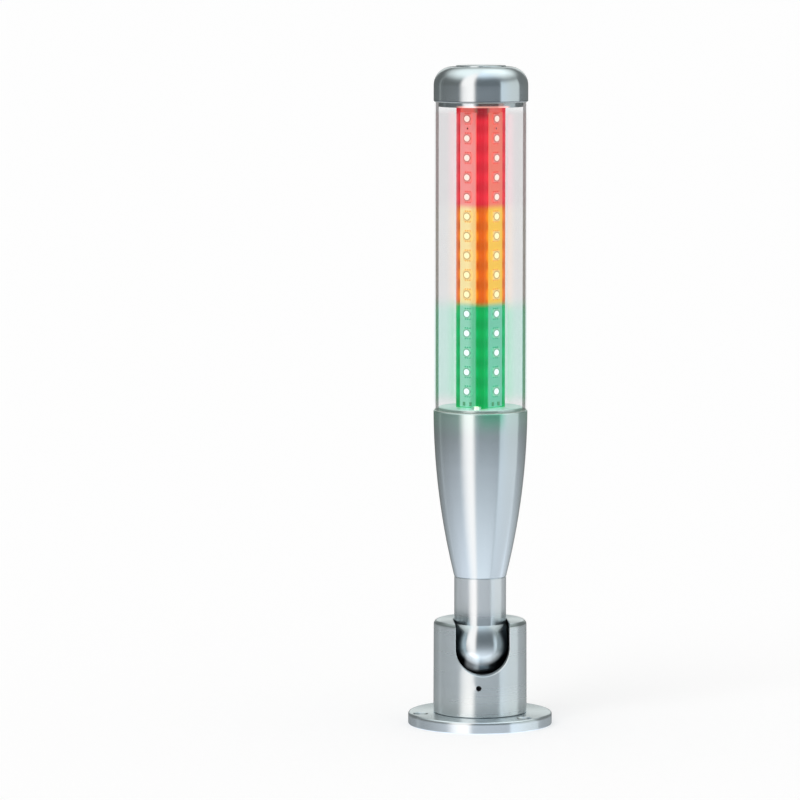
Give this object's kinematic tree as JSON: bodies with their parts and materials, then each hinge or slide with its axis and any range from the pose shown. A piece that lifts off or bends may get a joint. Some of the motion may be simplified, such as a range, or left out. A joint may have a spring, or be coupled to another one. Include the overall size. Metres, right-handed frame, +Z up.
{
  "type": "stack light",
  "caption": "Slim stack light: clear tube round lit red, amber and green sources on a metal core, tapered metal body, ball-jointed stem in a notched housing on a round flange.",
  "frame": {"origin": "centre of the mounting flange's underside", "axes": "+Z up along the column; -Y the side that the tilt notch faces; +X to the right seen from that side"},
  "size_m": [0.0782, 0.0782, 0.358],
  "materials": {
    "turned_aluminium": "satin, turned",
    "core_aluminium": "as extruded",
    "clear_plastic": "clear, polished",
    "white_board": "white solder resist",
    "package_plastic": "moulded",
    "red_glow": "lit",
    "amber_glow": "lit",
    "green_glow": "lit",
    "zinc_steel": "zinc plated",
    "spring_steel": "phosphated",
    "black_steel": "black oxide",
    "seal_rubber": "matt",
    "cup_plastic": "machined",
    "driver_laminate": "solder resist",
    "terminal_plastic": "moulded",
    "chip_black": "moulded"
  },
  "bodies": {
    "base": {"mounting_flange": "turned_aluminium", "pivot_spigot": "turned_aluminium", "disc_springs": "spring_steel", "friction_cup": "cup_plastic"},
    "housing": {"socket_housing": "turned_aluminium", "housing_lock_screw": "black_steel"},
    "light": {"ball_stem": "turned_aluminium", "tapered_body": "turned_aluminium", "stem_seal": "seal_rubber", "stem_washer": "zinc_steel", "stem_nut": "zinc_steel", "core_base_plate": "turned_aluminium", "lower_tube_seal": "seal_rubber", "clear_tube": "clear_plastic", "upper_tube_seal": "seal_rubber", "led_core": "core_aluminium", "led_board_front_left": "white_board", "led_board_front_right": "white_board", "led_board_back_right": "white_board", "led_board_back_left": "white_board", "board_pins": "zinc_steel", "board_resistors": "chip_black", "red_led_packages": "package_plastic", "amber_led_packages": "package_plastic", "green_led_packages": "package_plastic", "red_led_windows": "red_glow", "amber_led_windows": "amber_glow", "green_led_windows": "green_glow", "tie_rod": "zinc_steel", "tie_rod_washer": "zinc_steel", "tie_rod_nut": "zinc_steel", "driver_standoffs": "zinc_steel", "base_plate_screws": "zinc_steel", "driver_screws": "zinc_steel", "driver_board": "driver_laminate", "terminal_block": "terminal_plastic", "driver_parts": "chip_black", "top_cap": "turned_aluminium"}
  },
  "joints": [
    {"name": "housing_turn", "type": "hinge", "parent": "base", "child": "housing", "pos_m": [0, 0, 0.00675], "axis": [0, 0, 1], "range_deg": [-180, 180]},
    {"name": "stem_tilt", "type": "hinge", "parent": "housing", "child": "light", "pos_m": [0, 0, 0.044], "axis": [1, 0, 0], "range_deg": [0, 90]}
  ]
}
